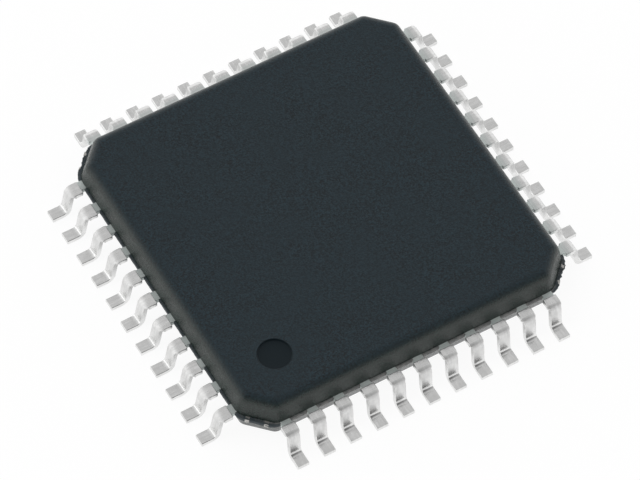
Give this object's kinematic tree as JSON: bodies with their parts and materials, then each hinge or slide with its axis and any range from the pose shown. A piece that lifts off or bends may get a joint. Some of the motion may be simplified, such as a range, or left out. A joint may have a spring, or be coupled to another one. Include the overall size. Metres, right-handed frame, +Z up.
{
  "type": "quad flat pack chip",
  "caption": "Low-profile square surface-mount chip package with a dark moulded body, cut corners and a row of gull-wing leads along each side.",
  "frame": {"origin": "centre of the seating plane, where the soles of the leads rest", "axes": "+Z up out of the top face; the pin-one recess is at the corner towards -X and -Y; leads are numbered anticlockwise from it, seen from above"},
  "size_m": [0.012, 0.012, 0.0015],
  "materials": {
    "mould_resin": "fine spark-eroded mould texture in dark silica-filled epoxy",
    "tin_plate": "satin tin plate, smooth on the bends, with dull punched edges",
    "leadframe_alloy": "bare rolled nickel-iron alloy, shiny at its punched ends",
    "silver_adhesive": "cured silver-filled adhesive",
    "silicon": "polished silicon",
    "gold_wire": "bright drawn gold wire"
  },
  "bodies": {
    "root": {"mould_body": "mould_resin", "die_pad": "leadframe_alloy", "die_attach": "silver_adhesive", "silicon_die": "silicon", "bond_wires_s": "gold_wire", "bond_wires_e": "gold_wire", "bond_wires_n": "gold_wire", "bond_wires_w": "gold_wire", "lead_01": "tin_plate", "lead_02": "tin_plate", "lead_03": "tin_plate", "lead_04": "tin_plate", "lead_05": "tin_plate", "lead_06": "tin_plate", "lead_07": "tin_plate", "lead_08": "tin_plate", "lead_09": "tin_plate", "lead_10": "tin_plate", "lead_11": "tin_plate", "lead_12": "tin_plate", "lead_13": "tin_plate", "lead_14": "tin_plate", "lead_15": "tin_plate", "lead_16": "tin_plate", "lead_17": "tin_plate", "lead_18": "tin_plate", "lead_19": "tin_plate", "lead_20": "tin_plate", "lead_21": "tin_plate", "lead_22": "tin_plate", "lead_23": "tin_plate", "lead_24": "tin_plate", "lead_25": "tin_plate", "lead_26": "tin_plate", "lead_27": "tin_plate", "lead_28": "tin_plate", "lead_29": "tin_plate", "lead_30": "tin_plate", "lead_31": "tin_plate", "lead_32": "tin_plate", "lead_33": "tin_plate", "lead_34": "tin_plate", "lead_35": "tin_plate", "lead_36": "tin_plate", "lead_37": "tin_plate", "lead_38": "tin_plate", "lead_39": "tin_plate", "lead_40": "tin_plate", "lead_41": "tin_plate", "lead_42": "tin_plate", "lead_43": "tin_plate", "lead_44": "tin_plate"}
  },
  "joints": []
}
